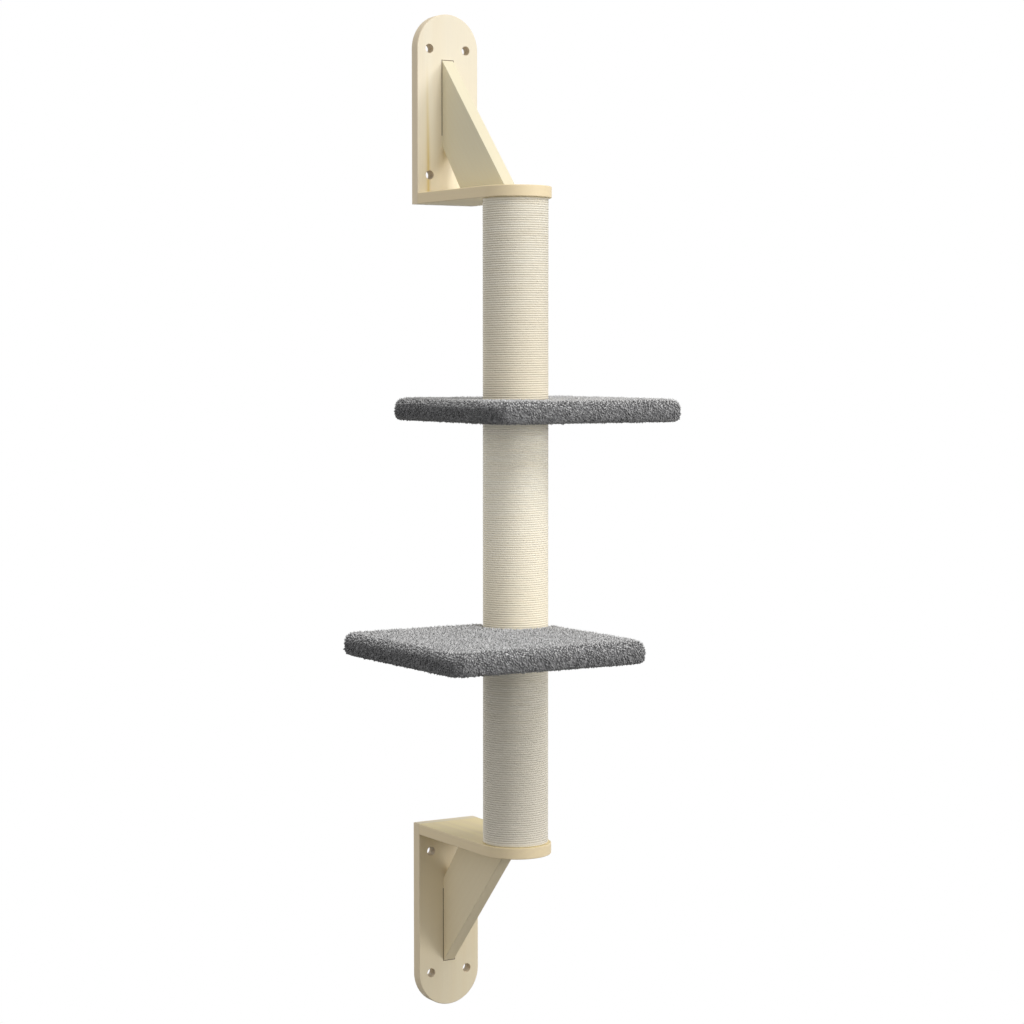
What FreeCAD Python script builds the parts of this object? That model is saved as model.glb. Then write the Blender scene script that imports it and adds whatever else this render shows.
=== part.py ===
import FreeCAD
import Part
import Sketcher

import math
import os
import re

# A wall mounted cat tree: two wooden brackets hold a rope-wound post, which carries two plush platforms.
# The wall is the plane y = 0 and the tree stands out from it towards -y; z is up, and x runs along the
# wall. The origin is the middle of the lower bracket's four wall holes, on the wall.

Vector = FreeCAD.Vector
Rotation = FreeCAD.Rotation

sizes = {
    # wall plates
    "plate_width": 100,
    "plate_height": 272,
    "board_thick": 16,
    "edge_round": 1.5,
    "hole_dia": 13,
    "hole_across": 60,
    "hole_along": 180,
    "hole_end": 50,
    # arms and braces
    "post_offset": 202,
    "brace_width": 18,
    "brace_rise": 190,
    "brace_reach": 174,
    "brace_inner_rise": 67,
    "brace_inner_reach": 54,
    "brace_round": 0.8,
    # screws from the back of the wall plate
    "screw_dia": 4,
    "screw_head_dia": 8,
    "screw_head_tall": 2.4,
    "screw_length": 40,
    "screw_tip": 4,
    "screw_point_dia": 1,
    "arm_screw_across": 64,
    "brace_screw_low": 89,
    "brace_screw_high": 141,
    # dowels between arm and brace, measured from the front of the wall plate
    "dowel_dia": 8,
    "dowel_in_arm": 10,
    "dowel_in_brace": 20,
    "dowel_near": 88,
    "dowel_far": 134,
    "drill_gap": 0.05,
    # bolt through each arm into the post
    "bolt_dia": 8,
    "bolt_head_dia": 16,
    "bolt_head_tall": 4.4,
    "bolt_key": 5,
    "bolt_key_deep": 3,
    # post sections
    "lower_section": 273.5,
    "middle_section": 287.5,
    "upper_section": 283,
    "core_dia": 86.2,
    "core_wall": 4,
    "plug_thick": 18,
    "plug_gap": 0.1,
    "insert_dia": 12,
    "insert_length": 14,
    "thread_gap": 0.08,
    "thread_grip": 13,
    # rope round each section
    "rope_dia": 2.65,
    "rope_pitch": 3.12,
    "rope_seat": 0.05,
    "rope_end_gap": 0.3,
    # platforms
    "deck_width": 301,
    "deck_depth": 309,
    "deck_corner": 20,
    "deck_top_round": 12,
    "deck_low_round": 7,
    "cover_side": 5,
    "cover_top": 5.5,
    "seat_depth": 4.5,
    "seat_gap": 0.5,
    "deck_board_thick": 18,
    "foam_thick": 5,
    "foam_inset": 9,
    "hem_width": 30,
    "hem_thick": 2.5,
    "cloth_gap": 0.2,
    "stud_hole_dia": 9,
    # where the post goes through each platform, from its left and back edges
    "lower_post_from_left": 251,
    "lower_post_from_back": 50,
    "upper_post_from_left": 89.5,
    "upper_post_from_back": 199,
    # staples under the platforms
    "staple_span": 10,
    "staple_wire": 1,
    "staple_deep": 8,
    "staple_inset": 32,
}

# Counts
ropeLoops = 24
gapSteps = 600  # points on each loop when its gap to the next is measured
staplesAcross = 4
staplesAlong = 4

# Heights and places that follow from the sizes.
places = {
    "hole_mid": "plate_height - hole_end - hole_along / 2",
    "lower_face": "hole_mid",
    "lower_deck": "lower_face + lower_section",
    "deck_thick": "hem_thick + deck_board_thick + foam_thick + cover_top",
    "deck_rise": "deck_thick - seat_depth",
    "middle_foot": "lower_deck + deck_rise",
    "upper_deck": "middle_foot + middle_section",
    "upper_foot": "upper_deck + deck_rise",
    "upper_face": "upper_foot + upper_section",
    "core_radius": "core_dia / 2",
    "rope_turn": "core_radius + rope_seat + rope_dia / 2",
    "rope_outer": "core_radius + rope_seat + rope_dia",
    "plug_radius": "core_radius - core_wall - plug_gap",
    "insert_radius": "insert_dia / 2",
    "bolt_radius": "bolt_dia / 2",
    "board_left": "cover_side + cloth_gap",
}

doc = FreeCAD.newDocument("WallCatTree")
sheet = doc.addObject("Spreadsheet::Sheet", "Sizes")
for row, (name, value) in enumerate(sizes.items(), start=1):
    sheet.set(f"A{row}", name)
    sheet.set(f"B{row}", str(value))
    sheet.setAlias(f"B{row}", name)
doc.recompute()

pieces = []


def formula(text):
    # Turns names of sizes and places into an expression on the sheet.
    def spell(word):
        if word[0] in places:
            return "(" + formula(places[word[0]]) + ")"
        return "Sizes." + word[0] if word[0] in sizes else word[0]
    return re.sub(r"[a-z_]\w*", spell, text)


def number(text):
    return float(sheet.evalExpression(formula(text)))


def bind(obj, **sources):
    for name, text in sources.items():
        obj.setExpression(name, formula(text))


def put(obj, x="0", y="0", z="0", turn=Rotation()):
    obj.Placement = FreeCAD.Placement(Vector(), turn)
    for axis, text in zip("xyz", (x, y, z)):
        if text != "0":
            obj.setExpression("Placement.Base." + axis, formula(text))
    return obj


def piece(obj, label):
    obj.Label = label
    pieces.append(obj)
    return obj


outward = Rotation(Vector(1, 0, 0), 90)
downward = Rotation(Vector(1, 0, 0), 180)
upsideDown = Rotation(Vector(0, 1, 0), 180)


def cylinder(name, radius, height, x="0", y="0", z="0", turn=Rotation()):
    obj = doc.addObject("Part::Cylinder", name)
    bind(obj, Radius=radius, Height=height)
    return put(obj, x, y, z, turn)


def cone(name, first, second, height, x="0", y="0", z="0", turn=Rotation()):
    obj = doc.addObject("Part::Cone", name)
    bind(obj, Radius1=first, Radius2=second, Height=height)
    return put(obj, x, y, z, turn)


def box(name, length, width, height, x="0", y="0", z="0"):
    obj = doc.addObject("Part::Box", name)
    bind(obj, Length=length, Width=width, Height=height)
    return put(obj, x, y, z)


def fuse(name, parts):
    obj = doc.addObject("Part::MultiFuse", name)
    obj.Shapes = parts
    return obj


def group(name, parts):
    obj = doc.addObject("Part::Compound", name)
    obj.Links = parts
    return obj


def cut(name, base, tools):
    for count, tool in enumerate(tools, start=1):
        obj = doc.addObject("Part::Cut", f"{name}{count}")
        obj.Base = base
        obj.Tool = tool
        base = obj
    return base


def ring(name, outer, inner, height, z):
    rim = cylinder(name + "Rim", outer, height, z=z)
    bore = cylinder(name + "Bore", inner, height, z=z)
    return cut(name, rim, [bore])


def sketch_on(body, role, name):
    sketch = body.newObject("Sketcher::SketchObject", name)
    plane = next(p for p in body.Origin.OriginFeatures if p.Role == role)
    sketch.AttachmentSupport = [(plane, "")]
    sketch.MapMode = "FlatFace"
    return sketch


def locate(sketch, geometry, point, x, y):
    # Ties one point to a place from the sketch's origin; None leaves that direction to other constraints.
    for kind, text, axis in (("DistanceX", x, -2), ("DistanceY", y, -1)):
        if text is None:
            continue
        value = number(text)
        if text == "0":
            sketch.addConstraint(Sketcher.Constraint("PointOnObject", geometry, point, axis))
            continue
        if value < 0:
            ends = (geometry, point, -1, 1)
            text = f"-({text})"
        else:
            ends = (-1, 1, geometry, point)
        index = sketch.addConstraint(Sketcher.Constraint(kind, *ends, abs(value)))
        sketch.setExpression(f"Constraints[{index}]", formula(text))


def outline(sketch, corners, round_end=None):
    # A closed outline through the corners, counter-clockwise. The side that starts at the corner numbered
    # round_end is a half circle, and the others are straight.
    spots = [Vector(number(x), number(y), 0) for x, y in corners]
    sides = len(spots)
    for index, start in enumerate(spots):
        end = spots[(index + 1) % sides]
        if index == round_end:
            middle = (start + end) * 0.5
            angle = math.atan2(start.y - middle.y, start.x - middle.x)
            circle = Part.Circle(middle, Vector(0, 0, 1), (start - middle).Length)
            sketch.addGeometry(Part.ArcOfCircle(circle, angle, angle + math.pi))
        else:
            sketch.addGeometry(Part.LineSegment(start, end))
    for index in range(sides):
        sketch.addConstraint(Sketcher.Constraint("Coincident", index, 2, (index + 1) % sides, 1))
        locate(sketch, index, 1, *corners[index])
    if round_end is not None:
        locate(sketch, round_end, 3, None, corners[round_end][1])


def circle(sketch, radius, x, y):
    centre = Vector(number(x), number(y), 0)
    index = sketch.addGeometry(Part.Circle(centre, Vector(0, 0, 1), number(radius)))
    locate(sketch, index, 3, x, y)
    size = sketch.addConstraint(Sketcher.Constraint("Radius", index, number(radius)))
    sketch.setExpression(f"Constraints[{size}]", formula(radius))


def pad(body, sketch, length, flip=False):
    feature = body.newObject("PartDesign::Pad", sketch.Name + "Pad")
    feature.Profile = sketch
    feature.Reversed = flip
    bind(feature, Length=length)
    body.Tip = feature
    doc.recompute()
    return feature


def round_edges(body, name, radius, chosen):
    base = body.Tip
    edges = [f"Edge{i}" for i, edge in enumerate(base.Shape.Edges, start=1) if chosen(edge)]
    feature = body.newObject("PartDesign::Fillet", name)
    feature.Base = (base, edges)
    bind(feature, Radius=radius)
    body.Tip = feature
    doc.recompute()
    return feature


def near(first, second):
    return abs(first - second) < 1e-4


def lies_at(edge, axis, value):
    # True for an edge that lies all along one coordinate.
    low = getattr(edge.BoundBox, axis + "Min")
    high = getattr(edge.BoundBox, axis + "Max")
    return near(low, value) and near(high, value)


# Brackets. Each is drawn as the upper one, from where its arm's face meets the wall: the plate rises from
# there, the arm stands out, and the post hangs below. The lower bracket is the same, turned upside down.

def screw_spots():
    mid_arm = "board_thick / 2"
    return [("arm_screw_across / 2", mid_arm), ("-arm_screw_across / 2", mid_arm),
            ("0", "board_thick + brace_screw_low"), ("0", "board_thick + brace_screw_high")]


def screw_form(name, x, z, gap):
    shank = f"screw_dia / 2 + {gap}"
    head = cone(name + "Head", f"screw_head_dia / 2 + {gap}", shank, "screw_head_tall", x=x, z=z,
                turn=outward)
    straight = cylinder(name + "Shank", shank, "screw_length - screw_head_tall - screw_tip", x=x,
                        y="-screw_head_tall", z=z, turn=outward)
    tip = cone(name + "Tip", shank, "screw_point_dia / 2", "screw_tip", x=x,
               y="-screw_length + screw_tip", z=z, turn=outward)
    return fuse(name, [head, straight, tip])


def dowel_form(name, reach, gap):
    return cylinder(name, f"dowel_dia / 2 + {gap}", "dowel_in_arm + dowel_in_brace",
                    y=f"-board_thick - {reach}", z="board_thick - dowel_in_arm")


def bolt_form(name, gap, socket):
    length = "(board_thick + thread_grip)"
    head = cone(name + "Head", f"bolt_head_dia / 2 + {gap}", f"bolt_radius + {gap}", "bolt_head_tall",
                y="-post_offset", z="board_thick", turn=downward)
    shank = cylinder(name + "Shank", f"bolt_radius + {gap}", f"{length} - bolt_head_tall",
                     y="-post_offset", z="board_thick - bolt_head_tall", turn=downward)
    whole = fuse(name, [head, shank])
    if not socket:
        return whole
    key = doc.addObject("Part::Prism", name + "Key")
    key.Polygon = 6
    bind(key, Circumradius="bolt_key / sqrt(3)", Height="bolt_key_deep")
    put(key, y="-post_offset", z="board_thick", turn=downward)
    return cut(name + "Cut", whole, [key])


def wall_plate(side):
    body = doc.addObject("PartDesign::Body", side + "PlateBody")
    sketch = sketch_on(body, "XZ_Plane", side + "PlateOutline")
    half = "plate_width / 2"
    round_start = "plate_height - plate_width / 2"
    outline(sketch, [("-" + half, "0"), (half, "0"), (half, round_start), ("-" + half, round_start)],
            round_end=2)
    for x in ("-hole_across / 2", "hole_across / 2"):
        for z in ("plate_height - hole_end", "plate_height - hole_end - hole_along"):
            circle(sketch, "hole_dia / 2", x, z)
    pad(body, sketch, "board_thick")
    front = -sizes["board_thick"]
    round_edges(body, side + "PlateEase", "edge_round",
                lambda e: lies_at(e, "Y", front) and not lies_at(e, "Z", 0) and not is_hole(e))
    holes = [screw_form(f"{side}PlateScrewHole{i}", x, z, "drill_gap")
             for i, (x, z) in enumerate(screw_spots())]
    return cut(side + "Plate", body, holes)


def is_hole(edge):
    return edge.isClosed()


def arm(side):
    body = doc.addObject("PartDesign::Body", side + "ArmBody")
    sketch = sketch_on(body, "XY_Plane", side + "ArmOutline")
    half = "plate_width / 2"
    outline(sketch, [("-" + half, "-board_thick"), ("-" + half, "-post_offset"), (half, "-post_offset"),
                     (half, "-board_thick")], round_end=1)
    pad(body, sketch, "board_thick")
    top = sizes["board_thick"]
    back = -sizes["board_thick"]
    round_edges(body, side + "ArmEase", "edge_round",
                lambda e: (lies_at(e, "Z", 0) or lies_at(e, "Z", top)) and not lies_at(e, "Y", back))
    holes = [screw_form(f"{side}ArmScrewHole{i}", x, z, "drill_gap")
             for i, (x, z) in enumerate(screw_spots()[:2])]
    holes += [dowel_form(f"{side}ArmDowelHole{reach[6:]}", reach, "drill_gap")
              for reach in ("dowel_near", "dowel_far")]
    holes.append(bolt_form(side + "ArmBoltHole", "thread_gap", socket=False))
    return cut(side + "Arm", body, holes)


def brace(side):
    body = doc.addObject("PartDesign::Body", side + "BraceBody")
    sketch = sketch_on(body, "YZ_Plane", side + "BraceOutline")
    bind(sketch, **{"AttachmentOffset.Base.z": "-brace_width / 2"})
    front = "-board_thick"
    outline(sketch, [("-board_thick - brace_reach", "board_thick"),
                     ("-board_thick - brace_inner_reach", "board_thick"),
                     (front, "board_thick + brace_inner_rise"),
                     (front, "board_thick + brace_rise")])
    pad(body, sketch, "brace_width")
    edge_of_plate = -sizes["board_thick"]
    face_of_arm = sizes["board_thick"]
    round_edges(body, side + "BraceEase", "brace_round",
                lambda e: e.BoundBox.XLength < 1e-4 and not lies_at(e, "Y", edge_of_plate)
                and not lies_at(e, "Z", face_of_arm))
    holes = [screw_form(f"{side}BraceScrewHole{i}", x, z, "drill_gap")
             for i, (x, z) in enumerate(screw_spots()[2:])]
    holes += [dowel_form(f"{side}BraceDowelHole{reach[6:]}", reach, "drill_gap")
              for reach in ("dowel_near", "dowel_far")]
    return cut(side + "Brace", body, holes)


def bracket(side, face, turn):
    screws = [screw_form(f"{side}Screw{i}", x, z, "0") for i, (x, z) in enumerate(screw_spots())]
    dowels = [dowel_form(f"{side}Dowel{reach[6:]}", reach, "0") for reach in ("dowel_near", "dowel_far")]
    made = {
        "wall_plate": wall_plate(side),
        "arm": arm(side),
        "brace": brace(side),
        "plate_screws": group(side + "Screws", screws),
        "brace_dowels": group(side + "Dowels", dowels),
        "post_bolt": bolt_form(side + "Bolt", "0", socket=True),
    }
    for name, obj in made.items():
        put(obj, z=face, turn=turn)
        piece(obj, f"{side}_{name}")


# Post sections: a card tube with a wooden plug in each end, a threaded insert in each plug, and rope
# wound round the tube. A section is drawn from its foot.

def arc_between(start, end, corner):
    # The arc from start to end whose end tangents meet at the corner.
    middle = (start + end) * 0.5
    half = (end - start).Length / 2
    depth = (corner - middle).Length
    side = math.hypot(half, depth)
    radius = side * half / depth
    crown = corner + (middle - corner) * ((math.hypot(radius, side) - radius) / depth)
    return Part.Arc(start, crown, end).toShape()


def rope_path(radius, pitch, start_height, tail):
    # A helix of pairs of arcs, one pair to each half turn, with a straight tail at each end.
    climb = pitch / math.tau

    def spot(angle):
        return Vector(radius * math.cos(angle), radius * math.sin(angle), start_height + climb * angle)

    def heading(angle):
        return Vector(-radius * math.sin(angle), radius * math.cos(angle), climb).normalize()

    edges = [Part.LineSegment(spot(0) - heading(0) * tail, spot(0)).toShape()]
    for half_turn in range(2 * ropeLoops):
        first, last = math.pi * half_turn, math.pi * (half_turn + 1)
        chord = spot(last) - spot(first)
        both = heading(first) + heading(last)
        slack = 4 - both.dot(both)
        reach = (math.sqrt(chord.dot(both) ** 2 + slack * chord.dot(chord)) - chord.dot(both)) / slack
        near_corner = spot(first) + heading(first) * reach
        far_corner = spot(last) - heading(last) * reach
        joint = (near_corner + far_corner) * 0.5
        edges.append(arc_between(spot(first), joint, near_corner))
        edges.append(arc_between(joint, spot(last), far_corner))
    end = math.tau * ropeLoops
    edges.append(Part.LineSegment(spot(end), spot(end) + heading(end) * tail).toShape())
    return Part.Wire(edges)


def least_gap(path, diameter):
    # Distance between neighbouring turns, from points along the path, less the rope itself.
    steps = gapSteps * ropeLoops
    points = path.discretize(Number=steps)
    reach = 3
    closest = min((points[i] - points[j]).Length
                  for i in range(0, steps - gapSteps - reach)
                  for j in range(i + gapSteps - reach, i + gapSteps + reach))
    return closest - diameter


def rope(section, foot, length):
    diameter = number("rope_dia")
    pitch = number("rope_pitch")
    radius = number("rope_turn")
    tall = ropeLoops * pitch
    start_height = number(length) - number("rope_end_gap") - diameter / 2 - tall
    path = rope_path(radius, pitch, start_height, diameter)
    start = path.Vertexes[0].Point
    along = Vector(0, radius, pitch / math.tau)
    profile = Part.Wire(Part.makeCircle(diameter / 2, start, along))
    winding = path.makePipeShell([profile], True, False)
    expected = math.pi * diameter ** 2 / 4 * path.Length
    print(f"{section} rope: least gap {least_gap(path, diameter):.3f}, "
          f"volume to section times length {winding.Volume / expected:.4f}")
    turns = doc.addObject("Part::Feature", section + "RopeTurns")
    turns.Shape = Part.Solid(winding)
    put(turns, y="-post_offset", z=foot)

    # The turns below the loops are one plain sleeve.
    sleeve_top = f"{length} - rope_end_gap - rope_dia - {ropeLoops} * rope_pitch - (rope_pitch - rope_dia)"
    sleeve = ring(section + "RopeSleeve", "rope_outer", "core_radius + rope_seat",
                  f"{sleeve_top} - rope_end_gap", z="rope_end_gap")
    put(sleeve, y="-post_offset", z=foot)
    return group(section + "Rope", [turns, sleeve])


def post_section(section, foot, length):
    tube = ring(section + "Tube", "core_radius", "core_radius - core_wall", length, z="0")
    piece(put(tube, y="-post_offset", z=foot), section + "_core_tube")
    piece(rope(section, foot, length), section + "_rope")
    ends = {"bottom": (foot, foot), "top": (f"{foot} + {length} - plug_thick",
                                            f"{foot} + {length} - insert_length")}
    for end, (plug_foot, insert_foot) in ends.items():
        plug = ring(f"{section}{end}Plug", "plug_radius", "insert_radius + drill_gap", "plug_thick", z="0")
        piece(put(plug, y="-post_offset", z=plug_foot), f"{section}_{end}_plug")
        insert = ring(f"{section}{end}Insert", "insert_radius", "bolt_radius + thread_gap",
                      "insert_length", z="0")
        piece(put(insert, y="-post_offset", z=insert_foot), f"{section}_{end}_insert")


# Platforms: a board and a foam pad in a plush cover, with a lining and staples underneath. A platform is
# drawn from its back left corner on the underside, with the board's depth towards -y.

def slab(name, inset, thick, z, corner):
    body = doc.addObject("PartDesign::Body", name + "Body")
    sketch = sketch_on(body, "XY_Plane", name + "Outline")
    right = f"deck_width - ({inset})"
    front = f"-deck_depth + ({inset})"
    outline(sketch, [(inset, f"-({inset})"), (inset, front), (right, front), (right, f"-({inset})")])
    bind(sketch, **{"AttachmentOffset.Base.z": z})
    pad(body, sketch, thick)
    round_edges(body, name + "Corners", corner, lambda e: e.BoundBox.ZLength > 1e-4)
    return body


def cover_skin(name):
    body = slab(name, "0", "deck_thick", "0", "deck_corner")
    top = number("deck_thick")
    round_edges(body, name + "TopRound", "deck_top_round", lambda e: lies_at(e, "Z", top))
    round_edges(body, name + "LowRound", "deck_low_round", lambda e: lies_at(e, "Z", 0))
    return body


def staple(name, x, y, along_x):
    # Each staple bridges the joint between hem and lining, with one leg in each.
    span, wire = "staple_span", "staple_wire"
    crown_size = (span, wire) if along_x else (wire, span)
    far_x = f"{x} + {span} - {wire}" if along_x else x
    far_y = y if along_x else f"{y} + {span} - {wire}"
    crown = box(name + "Crown", *crown_size, wire, x=x, y=y)
    legs = [box(f"{name}Leg{side}", wire, wire, "staple_deep", x=leg_x, y=leg_y)
            for side, leg_x, leg_y in (("Near", x, y), ("Far", far_x, far_y))]
    return fuse(name, [crown] + legs)


def staples(name):
    rows = []
    half = "staple_span / 2"
    for index in range(staplesAcross):
        share = f"({index} + 0.5) / {staplesAcross}"
        x = f"staple_inset + (deck_width - 2 * staple_inset) * {share}"
        for edge, y in (("Back", f"-staple_inset - {half}"),
                        ("Front", f"-deck_depth + staple_inset - {half}")):
            rows.append(staple(f"{name}{edge}{index}", x, y, along_x=False))
    for index in range(staplesAlong):
        share = f"({index} + 0.5) / {staplesAlong}"
        y = f"-staple_inset - (deck_depth - 2 * staple_inset) * {share}"
        for edge, x in (("Left", f"staple_inset - {half}"),
                        ("Right", f"deck_width - staple_inset - {half}")):
            rows.append(staple(f"{name}{edge}{index}", x, y, along_x=True))
    return group(name, rows)


def platform(level, height, from_left, from_back):
    inner = "deck_corner - cover_side"
    hem = "board_left + hem_width"
    post = {"x": from_left, "y": f"-{from_back}"}
    passage = cylinder(level + "StudHole", "stud_hole_dia / 2", "deck_thick", **post)
    # The post's foot stands in a seat that it presses into the plush, open at the top.
    seat = cylinder(level + "Seat", "rope_outer + seat_gap", "deck_thick", z="deck_rise", **post)
    pins = staples(level + "Staples")

    cavity = slab(level + "Cavity", "cover_side", "deck_board_thick + foam_thick", "hem_thick", inner)
    window = slab(level + "Window", hem, "hem_thick", "0", "deck_corner / 2")
    made = {
        "cover": cut(level + "Cover", cover_skin(level + "Skin"), [cavity, window, passage, seat, pins]),
        "board": cut(level + "Board", slab(level + "Wood", "board_left", "deck_board_thick", "hem_thick",
                                           inner + " - cloth_gap"), [passage, pins]),
        "foam_pad": cut(level + "Foam", slab(level + "Pad", "cover_side + foam_inset", "foam_thick",
                                             "hem_thick + deck_board_thick", inner), [passage]),
        "lining": cut(level + "Lining", slab(level + "Sheet", hem + " + cloth_gap", "hem_thick", "0",
                                             "deck_corner / 2 - cloth_gap"), [passage, pins]),
        "staples": pins,
        "stud": cylinder(level + "Stud", "bolt_radius", "deck_rise + 2 * thread_grip", z="-thread_grip",
                         **post),
    }
    for name, obj in made.items():
        holder = group(f"{level}{name}Placed", [obj])
        put(holder, x=f"-{from_left}", y=f"-post_offset + {from_back}", z=height)
        piece(holder, f"{level}_platform_{name}")


bracket("lower", "lower_face", upsideDown)
bracket("upper", "upper_face", Rotation())
post_section("lower", "lower_face", "lower_section")
post_section("middle", "middle_foot", "middle_section")
post_section("upper", "upper_foot", "upper_section")
platform("lower", "lower_deck", "lower_post_from_left", "lower_post_from_back")
platform("upper", "upper_deck", "upper_post_from_left", "upper_post_from_back")
doc.recompute()

for obj in doc.Objects:
    if {"Invalid", "Error"} & set(obj.State):
        raise RuntimeError(f"{obj.Label} failed: {obj.State}")
for obj in pieces:
    if obj.Shape.isNull() or not obj.Shape.isValid():
        raise RuntimeError(f"{obj.Label} has no valid shape")

os.makedirs("parts", exist_ok=True)
for obj in pieces:
    obj.Shape.exportStep(os.path.join("parts", obj.Label + ".step"))
print(f"{len(pieces)} pieces written")
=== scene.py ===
import bmesh
import bpy
import math
from mathutils import Matrix, Vector, noise


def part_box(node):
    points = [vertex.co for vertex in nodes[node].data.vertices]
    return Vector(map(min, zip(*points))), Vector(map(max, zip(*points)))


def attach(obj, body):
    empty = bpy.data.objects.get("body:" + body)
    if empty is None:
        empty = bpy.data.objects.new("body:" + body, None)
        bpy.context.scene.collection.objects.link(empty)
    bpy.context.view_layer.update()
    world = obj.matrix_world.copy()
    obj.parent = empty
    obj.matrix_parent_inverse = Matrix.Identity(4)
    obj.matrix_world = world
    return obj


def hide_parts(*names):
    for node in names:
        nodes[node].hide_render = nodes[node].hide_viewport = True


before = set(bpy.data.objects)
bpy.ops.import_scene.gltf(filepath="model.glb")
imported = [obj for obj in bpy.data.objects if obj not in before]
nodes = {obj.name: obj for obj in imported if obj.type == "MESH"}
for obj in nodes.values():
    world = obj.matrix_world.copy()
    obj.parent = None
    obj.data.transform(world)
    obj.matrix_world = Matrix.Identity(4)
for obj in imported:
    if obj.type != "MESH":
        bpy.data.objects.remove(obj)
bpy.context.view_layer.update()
scene = bpy.context.scene
scene.view_settings.view_transform = "Standard"
mm = 0.001
weld = 0.01 * mm  # points nearer to each other than this count as one

tubeLow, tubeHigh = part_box("middle_core_tube")
postAxis = (tubeLow + tubeHigh) / 2  # the post's middle line, read at mid height
postAxis.z = 0


# shader sums

def colourOf(red, green, blue):
    # a colour as picked on a screen, from 0 to 255, as shader light
    def linear(level):
        level /= 255
        return level / 12.92 if level <= 0.04045 else ((level + 0.055) / 1.055) ** 2.4
    return (linear(red), linear(green), linear(blue), 1)


class Wire:
    # a socket that works in sums
    def __init__(self, graph, socket):
        self.graph = graph
        self.socket = socket

    def __add__(self, other):
        return self.graph.sum("ADD", self, other)

    def __radd__(self, other):
        return self.graph.sum("ADD", other, self)

    def __sub__(self, other):
        return self.graph.sum("SUBTRACT", self, other)

    def __rsub__(self, other):
        return self.graph.sum("SUBTRACT", other, self)

    def __mul__(self, other):
        return self.graph.sum("MULTIPLY", self, other)

    def __truediv__(self, other):
        return self.graph.sum("DIVIDE", self, other)


class Graph:
    # a node tree that is being built
    def __init__(self, tree, prefix):
        self.tree = tree
        self.prefix = prefix

    def node(self, kind, settings=None, out=0, **feeds):
        made = self.tree.nodes.new(kind if "Node" in kind else self.prefix + kind)
        for key, value in (settings or {}).items():
            if key == "stops":
                self.setStops(made.color_ramp, value)
            else:
                setattr(made, key, value)
        sockets = {}
        for socket in made.inputs:
            if socket.enabled:
                sockets.setdefault(socket.name.replace(" ", ""), socket)
        for socket in made.inputs:
            sockets.setdefault(socket.identifier, socket)
        for key, value in feeds.items():
            self.feed(sockets[key], value)
        return Wire(self, made.outputs[out]) if len(made.outputs) else None

    def feed(self, socket, value):
        if isinstance(value, Wire):
            self.tree.links.new(value.socket, socket)
        elif isinstance(value, list):
            for wire in reversed(value):
                self.tree.links.new(wire.socket, socket)
        else:
            socket.default_value = value

    def setStops(self, ramp, stops):
        while len(ramp.elements) < len(stops):
            ramp.elements.new(1)
        for element, (place, level) in zip(ramp.elements, stops):
            element.position = place
            element.color = (level, level, level, 1)

    def sum(self, operation, first, second=0.0):
        made = self.tree.nodes.new("ShaderNodeMath")
        made.operation = operation
        self.feed(made.inputs[0], first)
        self.feed(made.inputs[1], second)
        return Wire(self, made.outputs[0])

    def seen(self):
        # 1 where the camera looks, straight or by way of metal or glass
        rays = self.node("LightPath").socket.node.outputs
        kinds = ("Camera", "Glossy", "Transmission")
        camera, glossy, through = (Wire(self, rays[f"Is {kind} Ray"]) for kind in kinds)
        return self.sum("MAXIMUM", camera, self.sum("MAXIMUM", glossy, through))

    def axes(self, vector):
        parts = self.node("ShaderNodeSeparateXYZ", Vector=vector).socket.node.outputs
        return [Wire(self, parts[index]) for index in range(3)]


class Paint(Graph):
    # a material that is being mixed
    def __init__(self, name):
        self.material = bpy.data.materials.new(name)
        self.material.use_nodes = True
        super().__init__(self.material.node_tree, "ShaderNode")
        self.tree.nodes.clear()

    def place(self):
        return self.node("TexCoord", out="Object")

    def attribute(self, name):
        return self.node("Attribute", {"attribute_name": name}, out="Fac")

    def noise(self, vector, stretch, detail=3.0, rough=0.5):
        scaled = self.node("Mapping", Vector=vector, Scale=stretch)
        return self.node("TexNoise", Vector=scaled, Scale=1.0, Detail=detail, Roughness=rough)

    def ramp(self, level, *stops):
        return self.node("ValToRGB", {"stops": stops}, Fac=level)

    def mix(self, share, first, second, blend="MIX"):
        made = self.tree.nodes.new("ShaderNodeMix")
        made.data_type = "RGBA"
        made.blend_type = blend
        self.feed(made.inputs["Factor"], share)
        for socket in made.inputs:
            if socket.identifier == "A_Color":
                self.feed(socket, first)
            elif socket.identifier == "B_Color":
                self.feed(socket, second)
        return Wire(self, next(socket for socket in made.outputs if socket.identifier == "Result_Color"))

    def bump(self, height, depth, strength=1.0):
        return self.node("Bump", Height=height, Distance=depth, Strength=strength)

    def finish(self, **feeds):
        shader = self.node("BsdfPrincipled", **feeds)
        self.node("OutputMaterial", Surface=shader)
        return self.material


# camera and lights

def addCamera():
    view = {"place": (-1.8476, -3.1935, 0.8166), "heading": 31.62, "down": 3.605, "lens": 89.03}
    data = bpy.data.cameras.new("camera")
    data.sensor_width = 36
    data.lens = view["lens"]
    camera = bpy.data.objects.new("camera", data)
    camera.location = view["place"]
    camera.rotation_euler = (math.radians(90 - view["down"]), 0, -math.radians(view["heading"]))
    scene.collection.objects.link(camera)
    scene.camera = camera


def addLamp(name, lamp, target):
    data = bpy.data.lights.new(name, "AREA")
    data.shape = "DISK"
    data.size = lamp["size"]
    data.energy = lamp["power"]
    data.color = lamp["colour"]
    turn, rise = math.radians(lamp["toRight"]), math.radians(lamp["above"])
    outward = Vector((math.sin(turn) * math.cos(rise), -math.cos(turn) * math.cos(rise), math.sin(rise)))
    obj = bpy.data.objects.new(name, data)
    obj.location = target + outward * lamp["away"]
    obj.rotation_euler = outward.to_track_quat("Z", "Y").to_euler()
    scene.collection.objects.link(obj)


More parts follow.
